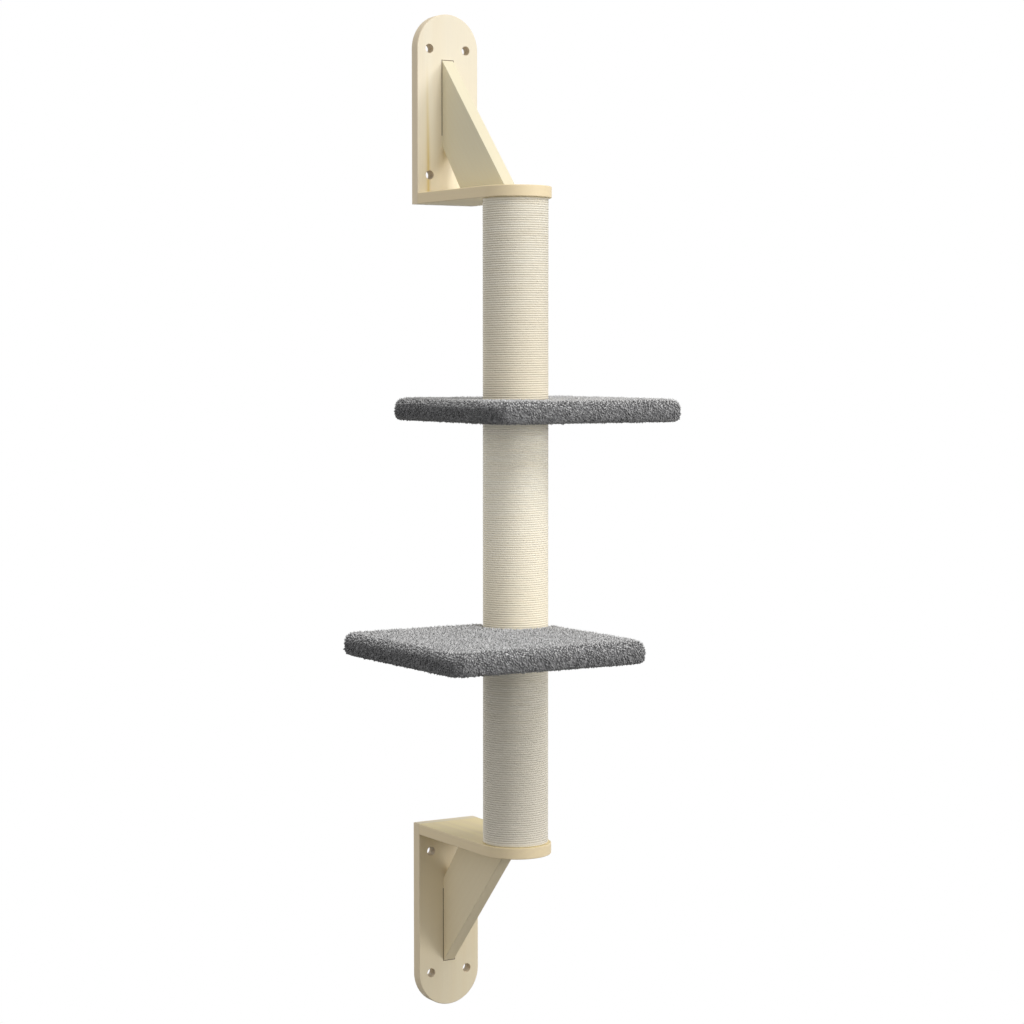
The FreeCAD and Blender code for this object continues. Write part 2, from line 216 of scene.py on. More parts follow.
def addLamps():
    middle = Vector((0, -0.2, 0.58))
    tint = (1, 0.99, 0.97)
    lamps = {
        "front": {"toRight": 10, "above": 8, "away": 4.2, "size": 3.0, "power": 35, "colour": tint},
        "side": {"toRight": 40, "above": 8, "away": 4.2, "size": 2.0, "power": 70, "colour": tint},
        "high": {"toRight": 15, "above": 52, "away": 4.2, "size": 2.0, "power": 70, "colour": tint},
        "behind": {"toRight": 180, "above": 3, "away": 4.2, "size": 1.0, "power": 36, "colour": tint},
    }
    for name, lamp in lamps.items():
        addLamp(name, lamp, middle)


def addSky():
    # soft light from above and from the left; where it is seen, straight or in metal or glass, it is white
    sky ={"all": 0.08, "above": 0.68, "left": 0.62, "colour": (1, 0.995, 0.985, 1)}
    world = bpy.data.worlds.new("studio")
    scene.world = world
    world.use_nodes = True
    world.node_tree.nodes.clear()
    graph = Graph(world.node_tree, "ShaderNode")
    x, y, z = graph.axes(graph.node("TexCoord", out="Generated"))
    upward = graph.sum("MAXIMUM", z, 0.0)
    leftward = graph.sum("MAXIMUM", 0 - x, 0.0)
    level = upward * upward * sky["above"] + leftward * leftward * sky["left"] + sky["all"]
    soft = graph.node("Background", Color=sky["colour"], Strength=level)
    white = graph.node("Background", Color=(1, 1, 1, 1), Strength=1.0)
    shown = graph.node("MixShader", Fac=graph.seen(), Shader=soft, Shader_001=white)
    graph.node("OutputWorld", Surface=shown)


# wood

armTones = {"pale": colourOf(248, 231, 180), "grey": colourOf(241, 223, 172), "rings": 0.3, "fibre": 0.955}
boardTones = {
    "upperPlate": {"pale": colourOf(244, 234, 210), "grey": colourOf(238, 229, 208),
                   "rings": 0.13, "fibre": 0.97},
    "lowerPlate": {"pale": colourOf(240, 227, 196), "grey": colourOf(234, 222, 194),
                   "rings": 0.13, "fibre": 0.97},
    "upperArm": armTones,
    "lowerArm": armTones,
    "upperBrace": {"pale": colourOf(235, 227, 199), "grey": colourOf(230, 222, 195),
                   "rings": 0.07, "fibre": 0.98},
    "lowerBrace": {"pale": colourOf(243, 229, 196), "grey": colourOf(238, 224, 192),
                   "rings": 0.07, "fibre": 0.98},
}
woodTones = {
    "deep": colourOf(229, 209, 172),
    "sawn": colourOf(239, 220, 187),
    "resin": colourOf(222, 196, 118),
    # the colour of the painted shade in the open joint round the brace
    "gap": colourOf(112, 98, 78),
    "bore": colourOf(218, 203, 176),
    "sawnShare": 0.7,
    "fleckShare": 0.14,
    "wander": 24 * mm,
    "ringGap": 8.5 * mm,
    "roughness": 0.48,
}


def sawnRim(paint, colour, beyond, x):
    # the sawn edge of a board with one round end; beyond runs from that end's middle along the board
    low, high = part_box("upper_wall_plate")
    half = (high.x - low.x) / 2
    past = paint.sum("MAXIMUM", beyond, 0.0)
    reach = paint.sum("SQRT", x * x + past * past) / half
    share = paint.ramp(reach, (0.978, 0.0), (0.994, woodTones["sawnShare"]))
    return paint.mix(share, colour, woodTones["sawn"])


def armRim(paint, colour, turnedX, turnedZ, drift):
    x, y, z = paint.axes(paint.place())
    return sawnRim(paint, colour, postAxis.y - y, x)


def boardWood(board, turn=(0, 0, 0), heart=(0.03, 0.16), extra=None):
    # long grain runs along z once the board is turned; rings are drawn round a heart line beside it
    tones = boardTones[board]
    paint = Paint(board + "Wood")
    place = paint.node("Mapping", Vector=paint.place(), Rotation=turn)
    x, y, z = paint.axes(place)
    drift = paint.noise(place, (9, 9, 1.6), detail=2)
    wander = (drift - 0.5) * woodTones["wander"]
    offX = x - heart[0] + wander
    offY = y - heart[1] + wander
    distance = paint.sum("SQRT", offX * offX + offY * offY)
    wave = paint.sum("SINE", distance * (math.tau / woodTones["ringGap"]))
    ring = paint.ramp(wave * 0.5 + 0.5, (0.25, 0.0), (0.97, 1.0))
    fibres = paint.noise(place, (900, 900, 14), detail=4, rough=0.6)
    flecks = paint.ramp(paint.noise(place, (1500, 1500, 60), detail=1), (0.66, 0.0), (0.75, 1.0))
    patches = paint.noise(place, (18, 18, 2.5), detail=2)
    body = paint.mix(paint.ramp(patches, (0.3, 0.0), (0.7, 1.0)), tones["pale"], tones["grey"])
    ringed = paint.mix(ring * tones["rings"] + flecks * woodTones["fleckShare"], body, woodTones["deep"])
    shade = paint.ramp(fibres, (0.25, tones["fibre"]), (0.75, 1.0))
    colour = paint.mix(1.0, ringed, shade, blend="MULTIPLY")
    if extra:
        colour = extra(paint, colour, x, z, drift)
    grain = fibres * 0.6 - flecks * 0.5 + ring * 0.3
    return paint.finish(BaseColor=colour, Roughness=fibres * 0.08 + woodTones["roughness"],
                        Normal=paint.bump(grain, 0.08 * mm, 0.5), SpecularIORLevel=0.3)


def plateMarks(side):
    # darker bored holes, a dark line of painted shade standing in for the open joint round the brace, and on
    # the upper plate a thin streak of resin
    low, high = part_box(side + "_wall_plate")
    braceLow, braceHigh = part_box(side + "_brace")
    armLow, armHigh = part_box(side + "_arm")
    # the joint shows from 83 mm off the arm, which is 16 mm past the brace's inner corner
    marks = {"holeX": 30 * mm, "holeZ": 90 * mm, "fromEnd": 140 * mm, "hole": 6.65 * mm,
             "joint": 83 * mm, "gap": 1.1 * mm}
    upward = side == "upper"
    middle = high.z - marks["fromEnd"] if upward else low.z + marks["fromEnd"]
    joint = (armHigh.z + marks["joint"], braceHigh.z) if upward else (braceLow.z, armLow.z - marks["joint"])
    resin = {"x": -33 * mm, "wide": 5 * mm, "fromTop": 66 * mm, "fade": 140 * mm, "wander": 20 * mm,
             "share": 0.75}
    half = (high.x - low.x) / 2

    def draw(paint, colour, x, z, drift):
        colour = sawnRim(paint, colour, z - (high.z - half) if upward else (low.z + half) - z, x)
        offX = paint.sum("ABSOLUTE", x) - marks["holeX"]
        offZ = paint.sum("ABSOLUTE", z - middle) - marks["holeZ"]
        bored = paint.sum("LESS_THAN", paint.sum("SQRT", offX * offX + offZ * offZ), marks["hole"])
        colour = paint.mix(bored, colour, woodTones["bore"])
        roomSide = paint.sum("LESS_THAN", paint.axes(paint.place())[1], (low.y + high.y) / 2)
        if upward:
            offset = paint.sum("ABSOLUTE", x - resin["x"] + (drift - 0.5) * resin["wander"])
            across = paint.ramp(offset / resin["wide"], (0.1, 1.0), (0.55, 0.25), (1.0, 0.0))
            along = paint.ramp((high.z - resin["fromTop"] - z) / resin["fade"], (0.0, 0.0), (1.0, 1.0))
            colour = paint.mix(across * along * roomSide * resin["share"], colour, woodTones["resin"])
        beside = paint.sum("ABSOLUTE", x)
        gap = marks["gap"]
        sideLine = paint.sum("LESS_THAN", paint.sum("ABSOLUTE", beside - braceHigh.x - gap / 2), gap / 2)
        within = paint.sum("LESS_THAN", paint.sum("ABSOLUTE", z - sum(joint) / 2), (joint[1] - joint[0]) / 2)
        overTip = z - braceHigh.z - gap / 2 if upward else braceLow.z - z - gap / 2
        tipLine = paint.sum("LESS_THAN", paint.sum("ABSOLUTE", overTip), gap / 2)
        narrow = paint.sum("LESS_THAN", beside, braceHigh.x + gap)
        # painted shade along the open joint beside the brace and over its end
        line = paint.sum("MAXIMUM", sideLine * within, tipLine * narrow)
        return paint.mix(line * roomSide, colour, woodTones["gap"])

    return draw


def plainWood(name, first, second, grainGap):
    # pressed or turned wood that is hidden inside: plugs, dowels and platform boards
    paint = Paint(name)
    chips = paint.node("TexVoronoi", {"feature": "F1"}, Vector=paint.place(), Scale=1 / grainGap,
                       Randomness=1.0, out=1)
    level = paint.axes(chips)[0]
    fine = paint.noise(paint.place(), (700, 700, 700))
    colour = paint.mix(level * 0.7 + fine * 0.3, first, second)
    return paint.finish(BaseColor=colour, Roughness=0.75, Normal=paint.bump(level + fine, 0.15 * mm))


def dressBrackets():
    low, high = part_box("upper_brace")
    tilt = math.atan2(high.y - low.y, high.z - low.z)  # the brace's slope against its plate
    flat = (math.radians(90), 0, 0)
    woods = {
        "upper_wall_plate": boardWood("upperPlate", extra=plateMarks("upper")),
        "lower_wall_plate": boardWood("lowerPlate", heart=(-0.05, 0.13), extra=plateMarks("lower")),
        "upper_arm": boardWood("upperArm", turn=flat, heart=(0.02, -0.9), extra=armRim),
        "lower_arm": boardWood("lowerArm", turn=flat, heart=(0.04, 0.02), extra=armRim),
        "upper_brace": boardWood("upperBrace", turn=(tilt, 0, 0), heart=(0.12, 0.5)),
        "lower_brace": boardWood("lowerBrace", turn=(-tilt, 0, 0), heart=(0.12, -0.2)),
    }
    for node, material in woods.items():
        dress(node, material)


def dress(node, material):
    mesh = nodes[node].data
    mesh.materials.clear()
    mesh.materials.append(material)


# hidden parts and metal

def steel(name, tint, rough):
    paint = Paint(name)
    place = paint.place()
    fine = paint.noise(place, (1400, 1400, 240), detail=4)
    stain = paint.noise(place, (90, 90, 90), detail=3)
    colour = paint.mix(paint.ramp(stain, (0.35, 0.0), (0.75, 1.0)), tint, colourOf(120, 118, 113))
    return paint.finish(BaseColor=colour, Metallic=1.0, Roughness=rough + fine * 0.15,
                        Normal=paint.bump(fine, 0.02 * mm, 0.4))


def threaded(name, tint, pitch):
    # metal with a fine screw thread round an upright axis on the post's middle line; the thread's valleys are
    # painted darker, as painted shade
    paint = Paint(name)
    x, y, z = paint.axes(paint.place())
    angle = paint.sum("ARCTAN2", y - postAxis.y, x - postAxis.x)
    wave = paint.sum("PINGPONG", z / pitch - angle / math.tau, 0.5)
    colour = paint.mix(wave * 1.2, colourOf(120, 116, 108), tint)
    return paint.finish(BaseColor=colour, Metallic=1.0, Roughness=0.34, Normal=paint.bump(wave, 0.6 * mm))


def cardboard():
    # a card strip wound into a tube, whose seam climbs by one strip width each turn
    paint = Paint("woundCard")
    strip = 90 * mm
    x, y, z = paint.axes(paint.place())
    angle = paint.sum("ARCTAN2", y - postAxis.y, x - postAxis.x)
    seam = paint.sum("PINGPONG", z / strip - angle / math.tau, 0.5)
    line = paint.ramp(seam, (0.0, 1.0), (0.02, 0.0))
    fibre = paint.noise(paint.place(), (500, 500, 120), detail=4)
    colour = paint.mix(fibre * 0.6 + line * 0.5, colourOf(186, 158, 120), colourOf(140, 110, 78))
    return paint.finish(BaseColor=colour, Roughness=0.85, Normal=paint.bump(fibre - line, 0.1 * mm))


def dressInside():
    card = cardboard()
    plugWood = plainWood("plugWood", colourOf(206, 178, 136), colourOf(176, 144, 100), 2.5 * mm)
    boardChips = plainWood("boardChips", colourOf(188, 160, 118), colourOf(140, 110, 74), 3.5 * mm)
    bolts = steel("boltSteel", colourOf(138, 137, 133), 0.36)
    wire = steel("stapleWire", colourOf(206, 206, 204), 0.3)
    rod = threaded("studThread", colourOf(206, 204, 198), 1.25 * mm)
    brass = threaded("insertBrass", colourOf(216, 184, 112), 1.25 * mm)
    for section in ("lower", "middle", "upper"):
        dress(f"{section}_core_tube", card)
        for end in ("bottom", "top"):
            dress(f"{section}_{end}_plug", plugWood)
            dress(f"{section}_{end}_insert", brass)
    for side in ("lower", "upper"):
        dress(f"{side}_post_bolt", bolts)
        dress(f"{side}_brace_dowels", plugWood)
        dress(f"{side}_platform_board", boardChips)
        dress(f"{side}_platform_stud", rod)
        dress(f"{side}_platform_staples", wire)
        dress(f"{side}_plate_screws", bolts)


# mesh helpers

def pieceFrom(bm, name, material, smooth=True):
    mesh = bpy.data.meshes.new(name)
    bm.to_mesh(mesh)
    bm.free()
    if smooth:
        mesh.shade_smooth()
    mesh.materials.append(material)
    obj = bpy.data.objects.new(name, mesh)
    scene.collection.objects.link(obj)
    return obj


def applyModifiers(obj):
    graph = bpy.context.evaluated_depsgraph_get()
    mesh = bpy.data.meshes.new_from_object(obj.evaluated_get(graph))
    obj.modifiers.clear()
    obj.data = mesh


def edgesAt(bm, test):
    return [edge for edge in bm.edges if all(test(vert.co) for vert in edge.verts)]


# rope

# the cord is a little wider along the post than its pitch, so the turns press together
ropeSizes = {
    "across": 2.7 * mm,
    "pitch": 3.09 * mm,
    "width": 3.3 * mm,
    "steps": 64,
    "sides": 10,
    "endGap": 0.1 * mm,
    "strands": 3,
    "lay": 9 * mm,
    "slant": 5.2,
    "creamReach": 200 * mm,
    "coreRadius": (tubeHigh.x - tubeLow.x) / 2,
}


def ropeCord(section, tones, start, pitch):
    # twisted cord: its strands run slantwise over each turn; it is painted warmer near the foot, and paler
    # there on the middle section, as painted light, and darker in its grooves, as painted shade
    radius = ropeSizes["coreRadius"]
    paint = Paint(section + "Rope")
    place = paint.place()
    x, y, z = paint.axes(place)
    angle = paint.sum("ARCTAN2", y - postAxis.y, x - postAxis.x)
    turns = (z - start) / pitch - angle / math.tau
    turn = paint.sum("FLOOR", turns + 0.5)
    across = turns - turn
    along = (angle + turn * math.tau) * radius
    phase = along * (ropeSizes["strands"] * math.tau / ropeSizes["lay"]) + across * ropeSizes["slant"]
    strand = paint.sum("SINE", phase) * 0.5 + 0.5
    spot = paint.node("CombineXYZ", X=along * 900 + across * 2, Y=across * 9, Z=turn * 3.7)
    hair = paint.node("TexNoise", Vector=spot, Scale=0.6, Detail=3.0)
    age = paint.node("CombineXYZ", X=along * 22, Y=turn * 1.9, Z=0.0)
    patch = paint.node("TexNoise", Vector=age, Scale=1.0, Detail=2.0)
    groove = paint.ramp(paint.sum("ABSOLUTE", across), (0.36, 0.0), (0.5, 1.0))
    share = paint.ramp(patch, (0.32, 0.0), (0.68, 1.0))
    body = paint.mix(share, tones["pale"], tones["warm"])
    # painted light: the cord is toned warmer toward its foot, and on the middle section paler too
    footLightShare = paint.ramp((z - start) / ropeSizes["creamReach"], (0.2, 1.0), (1.0, 0.0))
    body = paint.mix(footLightShare, body, tones["foot"])
    # painted shade: darker in the grooves between turns and, fainter, between the strands; the hair term is
    # fibre tone
    dark = hair * 0.07 + (1 - strand) * 0.06 + groove * tones["groove"]
    colour = paint.mix(dark, body, tones["dark"])
    height = strand * 0.8 + hair * 0.3 - groove * 0.3
    return paint.finish(BaseColor=colour, Roughness=0.82, Normal=paint.bump(height, 0.15 * mm, 0.35),
                        SpecularIORLevel=0.2, SheenWeight=0.15)


def windRope(section, tones):
    # one turn is spun and the rest follow it up the post, with a level turn at each end
    low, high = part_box(section + "_core_tube")
    start = low.z + ropeSizes["endGap"] + ropeSizes["width"] / 2
    length = high.z - ropeSizes["endGap"] - ropeSizes["width"] / 2 - start
    turns = round(length / ropeSizes["pitch"])
    pitch = length / turns
    bm = bmesh.new()
    spinCord(bm, start, pitch / ropeSizes["steps"])
    piece = pieceFrom(bm, section + "_rope_winding", ropeCord(section, tones, start, pitch))
    repeatTurn(piece, turns, pitch)
    closeWinding(piece, (start, start + length))
    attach(piece, "root")
    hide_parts(section + "_rope")


def repeatTurn(piece, turns, pitch):
    rise = piece.modifiers.new("turns", "ARRAY")
    rise.count = turns
    rise.use_relative_offset = False
    rise.use_constant_offset = True
    rise.constant_offset_displace = (0, 0, pitch)
    rise.use_merge_vertices = True
    rise.merge_threshold = weld
    applyModifiers(piece)


def closeWinding(piece, levels):
    # the cord's two cut ends are filled, and a level turn lies over each
    bm = bmesh.new()
    bm.from_mesh(piece.data)
    bmesh.ops.holes_fill(bm, edges=[edge for edge in bm.edges if edge.is_boundary])
    for level in levels:
        addLevelTurn(bm, level)
    bmesh.ops.recalc_face_normals(bm, faces=bm.faces[:])
    bm.to_mesh(piece.data)
    bm.free()
    piece.data.shade_smooth()


def addLevelTurn(bm, level):
    # the turn is made apart, where the spin is quick, and joined to the winding
    turn = bmesh.new()
    spinCord(turn, level, 0)
    mesh = bpy.data.meshes.new("levelTurn")
    turn.to_mesh(mesh)
    turn.free()
    bm.from_mesh(mesh)
    bpy.data.meshes.remove(mesh)


def spinCord(bm, level, climb):
    # one turn of cord round the post, level or climbing
    ring = ropeSizes["coreRadius"] + ropeSizes["across"] / 2
    circle = bmesh.ops.create_circle(bm, segments=ropeSizes["sides"], radius=0.5, cap_ends=False)["verts"]
    shape = Matrix.Diagonal((ropeSizes["across"], ropeSizes["width"], 1, 1))
    stand = Matrix.Translation((ring, 0, 0)) @ Matrix.Rotation(math.radians(90), 4, "X") @ shape
    spot = Matrix.Translation((postAxis.x, postAxis.y, level))
    bmesh.ops.transform(bm, matrix=spot @ stand, verts=circle)
    edges = list({edge for vert in circle for edge in vert.link_edges})
    bmesh.ops.spin(bm, geom=circle + edges, cent=(postAxis.x, postAxis.y, 0), axis=(0, 0, 1),
                   dvec=(0, 0, climb), angle=math.tau, steps=ropeSizes["steps"], use_merge=climb == 0)


def windRopes():
    # painted light on the middle section: paler tones and fainter groove shade; painted shade on the lower
    # section: slightly darker tones than the upper
    tones = {
        "lower": {"pale": colourOf(243, 238, 225), "warm": colourOf(235, 229, 213),
                  "foot": colourOf(240, 234, 220), "dark": colourOf(180, 169, 149), "groove": 0.5},
        "middle": {"pale": colourOf(254, 250, 237), "warm": colourOf(252, 246, 230),
                   "foot": colourOf(255, 247, 227), "dark": colourOf(232, 220, 196), "groove": 0.35},
        "upper": {"pale": colourOf(245, 240, 226), "warm": colourOf(238, 231, 214),
                  "foot": colourOf(245, 236, 216), "dark": colourOf(182, 171, 148), "groove": 0.5},
    }
    for section in tones:
        windRope(section, tones[section])


# plush platforms

plushSizes = {
    "sunk": 1.3 * mm,
    "voxel": 3.5 * mm,
    "corner": 20 * mm,
    "topRound": 12 * mm,
    "lowRound": 7 * mm,
    "cloth": 1.2 * mm,
    "hem": 35 * mm,
    "seat": 46 * mm,
    "seatEase": 7 * mm,
    "wave": 0.6 * mm,
    "waveLength": 24 * mm,
    "flat": 0.6,  # a place that faces more up or down than this can be pressed flat
    # between these depths below the top, the pile's tips are painted darker: painted shade low down
    "dullFrom": 8 * mm,
    "dullTo": 28 * mm,
}
locks = {"tall": 3.6 * mm, "wide": 2.9 * mm, "sides": 3, "cuts": (0.5,), "swell": 0.6, "apart": 2.0 * mm,
         "tilt": 0.7, "leans": (0.3, 0.6, 0.9), "reach": (0.72, 1.12)}
hairs = {"tall": 3.6 * mm, "wide": 0.45 * mm, "sides": 3, "cuts": (), "swell": 0.0, "apart": 2.3 * mm,
         "tilt": 0.9, "leans": (0.0,), "reach": (0.72, 1.12)}
# the top tones are paler than the side tones: painted light on the platforms' tops
plushTones = {
    "root": colourOf(106, 106, 108),
    "rootPale": colourOf(146, 146, 148),
    "sideDark": colourOf(132, 132, 134),
    "sidePale": colourOf(226, 226, 227),
    "topDark": colourOf(182, 182, 183),
    "topPale": colourOf(252, 252, 253),
}


def slabMesh(low, high, corner, topRound, lowRound):
    # a board shape with rounded corners and soft edges
    bm = bmesh.new()
    size = high - low
    frameOf = Matrix.Translation((low + high) / 2) @ Matrix.Diagonal((size.x, size.y, size.z, 1))
    bmesh.ops.create_cube(bm, size=1, matrix=frameOf)
    steps = {"corner": 10, "top": 6, "low": 4}
    upright = [edge for edge in bm.edges if abs(edge.verts[0].co.z - edge.verts[1].co.z) > size.z / 2]
    bevelEdges(bm, upright, corner, steps["corner"])
    bevelEdges(bm, edgesAt(bm, lambda co: abs(co.z - high.z) < weld), topRound, steps["top"])
    bevelEdges(bm, edgesAt(bm, lambda co: abs(co.z - low.z) < weld), lowRound, steps["low"])
    return bm


def bevelEdges(bm, edges, offset, segments):
    bmesh.ops.bevel(bm, geom=edges, offset=offset, offset_type="OFFSET", segments=segments, profile=0.5,
                    affect="EDGES", material=-1)


def smoothStep(value, start, end):
    share = min(max((value - start) / (end - start), 0), 1)
    return share * share * (3 - 2 * share)


def plushSurface(level, material):
    # the outside of the cover, without its pile; the post above presses its foot into the top
    low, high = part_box(level + "_platform_cover")
    sunk = plushSizes["sunk"]
    inset = Vector((sunk, sunk, sunk))
    bm = slabMesh(low + inset, high - inset, plushSizes["corner"] - sunk, plushSizes["topRound"] - sunk,
                  plushSizes["lowRound"] - sunk)
    piece = pieceFrom(bm, level + "_platform_plush", material)
    remesh = piece.modifiers.new("remesh", "REMESH")
    remesh.mode = "VOXEL"
    remesh.voxel_size = plushSizes["voxel"]
    smooth = piece.modifiers.new("smooth", "SMOOTH")
    smooth.iterations = 1
    applyModifiers(piece)
    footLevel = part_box("middle_core_tube" if level == "lower" else "upper_core_tube")[0].z
    layers = pileMap(piece.data.vertices, low, high, footLevel)
    bm = bmesh.new()
    bm.from_mesh(piece.data)
    for name, values in layers.items():
        layer = bm.verts.layers.float.new(name)
        for vert, value in zip(bm.verts, values):
            vert[layer] = value
    openUnderneath(bm, low, high)
    bm.to_mesh(piece.data)
    bm.free()
    piece.data.shade_smooth()
    return piece


def pileMap(verts, low, high, footLevel):
    # waves and seats the surface, and says at each point how the pile grows and how it is toned:
    # longer on top, short underneath and under the post, with painted shade on the tips to the left and low
    # down and painted light on the tips on top
    layers = {"grow": [], "pileLength": [], "crown": [], "nap": []}
    for vert in verts:
        facing = vert.normal.z
        toLeft = -vert.normal.x
        fromPost = (Vector((vert.co.x, vert.co.y, 0)) - postAxis).length
        vert.co += vert.normal * noise.noise(vert.co / plushSizes["waveLength"]) * plushSizes["wave"]
        seated = 0
        if abs(facing) > plushSizes["flat"]:
            seated = 1 - smoothStep(fromPost, plushSizes["seat"], plushSizes["seat"] + plushSizes["seatEase"])
            vert.co.z += seated * ((footLevel if facing > 0 else low.z) - vert.co.z)
        # crown says how much a place faces up: there the pile grows longer and its tips are painted paler, as
        # painted light
        crown = smoothStep(facing, 0, 0.65)
        lowShade = smoothStep(high.z - vert.co.z, plushSizes["dullFrom"], plushSizes["dullTo"])
        length = 1 - 0.6 * smoothStep(-facing, 0.1, 0.6) + 0.25 * crown
        layers["grow"].append(0.0 if seated > 0.98 else 1.0)
        layers["pileLength"].append(length * (1 - 0.45 * seated))
        layers["crown"].append(crown)
        # painted shade: tips on faces to the left and low down are toned toward the root
        layers["nap"].append(min(smoothStep(toLeft, 0.3, 0.9) + 0.6 * lowShade, 1))
    return layers


def openUnderneath(bm, low, high):
    # the cover ends in a hem, and the lining closes what is between
    hem = plushSizes["hem"]
    limits = [(low.x + hem, "x", -1), (high.x - hem, "x", 1), (low.y + hem, "y", -1), (high.y - hem, "y", 1)]
    underneath = low.z + plushSizes["lowRound"] / 2
    for place, axis, _ in limits:
        faces = [face for face in bm.faces if face.calc_center_median().z < underneath]
        edges = list({edge for face in faces for edge in face.edges})
        verts = list({vert for face in faces for vert in face.verts})
        along = Vector((axis == "x", axis == "y", 0))
        bmesh.ops.bisect_plane(bm, geom=verts + edges + faces, plane_co=along * place, plane_no=along)
    inside = []
    for face in bm.faces:
        middle = face.calc_center_median()
        within = all((getattr(middle, axis) - place) * side < 0 for place, axis, side in limits)
        if middle.z < underneath and within:
            inside.append(face)
    bmesh.ops.delete(bm, geom=inside, context="FACES")


def tuft(name, shape, lean, material):
    # a tapered tuft with its root at the middle of the frame; the more it bends over, the lower it is
    tall = shape["tall"]
    bm = bmesh.new()
    bmesh.ops.create_cone(bm, cap_ends=True, segments=shape["sides"], radius1=shape["wide"] / 2, radius2=0,
                          depth=tall, matrix=Matrix.Translation((0, 0, tall / 2)))
    for cut in shape["cuts"]:
        bmesh.ops.bisect_plane(bm, geom=bm.verts[:] + bm.edges[:] + bm.faces[:], plane_co=(0, 0, tall * cut),
                               plane_no=(0, 0, 1))
    bmesh.ops.remove_doubles(bm, verts=bm.verts[:], dist=weld)
    bmesh.ops.recalc_face_normals(bm, faces=bm.faces[:])
    rise = bm.verts.layers.float.new("rise")
    for vert in bm.verts:
        share = vert.co.z / tall
        vert[rise] = share
        swell = 1 + shape["swell"] * math.sin(math.pi * share)
        vert.co.x = vert.co.x * swell + lean * tall * share * share
        vert.co.y *= swell
        vert.co.z *= 1 - 0.35 * lean * share
    return pieceFrom(bm, name, material)


def pileLayer(graph, surface, tufts, shape, seed):
    scatter = graph.node("DistributePointsOnFaces", {"distribute_method": "POISSON"}, Mesh=surface,
                         DistanceMin=shape["apart"], DensityMax=1 / shape["apart"] ** 2,
                         DensityFactor=graph.node("InputNamedAttribute", {"data_type": "FLOAT"}, Name="grow"),
                         Seed=seed)
    upright = Wire(graph, scatter.socket.node.outputs["Rotation"])
    tilt = shape["tilt"]
    turn = graph.node("FunctionNodeRandomValue", {"data_type": "FLOAT_VECTOR"}, Min=(-tilt, -tilt, 0),
                      Max=(tilt, tilt, math.tau), Seed=seed + 1)
    leaning = graph.node("FunctionNodeRotateRotation", {"rotation_space": "LOCAL"}, Rotation=upright,
                         RotateBy=turn)
    reach = graph.random(*shape["reach"], seed + 2)
    tall = graph.node("InputNamedAttribute", {"data_type": "FLOAT"}, Name="pileLength") * reach
    size = graph.node("ShaderNodeCombineXYZ", X=reach, Y=reach, Z=tall)
    kinds = [graph.node("ObjectInfo", out="Geometry", Object=obj) for obj in tufts]
    kinds = graph.node("GeometryToInstance", Geometry=kinds)
    placed = graph.node("InstanceOnPoints", Points=scatter, Instance=kinds, PickInstance=True,
                        Rotation=leaning, Scale=size)
    toned = graph.node("StoreNamedAttribute", {"data_type": "FLOAT", "domain": "INSTANCE"}, Geometry=placed,
                       Name="tone", Value=graph.random(0, 1, seed + 3))
    return graph.node("RealizeInstances", Geometry=toned)


class Growth(Graph):
    # the node tree that scatters the pile
    def __init__(self, name):
        tree = bpy.data.node_groups.new(name, "GeometryNodeTree")
        tree.interface.new_socket("Surface", in_out="INPUT", socket_type="NodeSocketGeometry")
        tree.interface.new_socket("Covered", in_out="OUTPUT", socket_type="NodeSocketGeometry")
        super().__init__(tree, "GeometryNode")

    def random(self, least, most, seed):
        made = self.tree.nodes.new("FunctionNodeRandomValue")
        made.data_type = "FLOAT"
        for socket in made.inputs:
            if socket.enabled and socket.name in ("Min", "Max"):
                socket.default_value = least if socket.name == "Min" else most
        made.inputs["Seed"].default_value = seed
        return Wire(self, next(socket for socket in made.outputs if socket.enabled))


def plushPaint():
    # a tuft runs from a dark root to a paler tip, painted paler on top as painted light and darker left and
    # low down as painted shade
    paint = Paint("plushPile")
    rise, tone, crown, nap = (paint.attribute(name) for name in ("rise", "tone", "crown", "nap"))
    drift = paint.ramp(paint.noise(paint.place(), (180, 180, 180), detail=1), (0.36, 0.0), (0.64, 1.0))
    fine = paint.noise(paint.place(), (900, 900, 900), detail=2)
    light = drift * 0.65 + tone * 0.35
    root = paint.mix(drift, plushTones["root"], plushTones["rootPale"])
    sideTip = paint.mix(light, plushTones["sideDark"], plushTones["sidePale"])
    litTopTip = paint.mix(light, plushTones["topDark"], plushTones["topPale"])
    tip = paint.mix(crown, paint.mix(nap * 0.9, sideTip, plushTones["root"]), litTopTip)
    # darker toward the root: partly the pile's darker base, partly painted shade deep in the pile
    lit = paint.ramp(rise + (fine - 0.5) * 0.25, (0.1, 0.0), (0.75, 1.0))
    return paint.finish(BaseColor=paint.mix(lit, root, tip), Roughness=0.9,
                        SheenWeight=0.35, SheenRoughness=0.4, SpecularIORLevel=0.15)


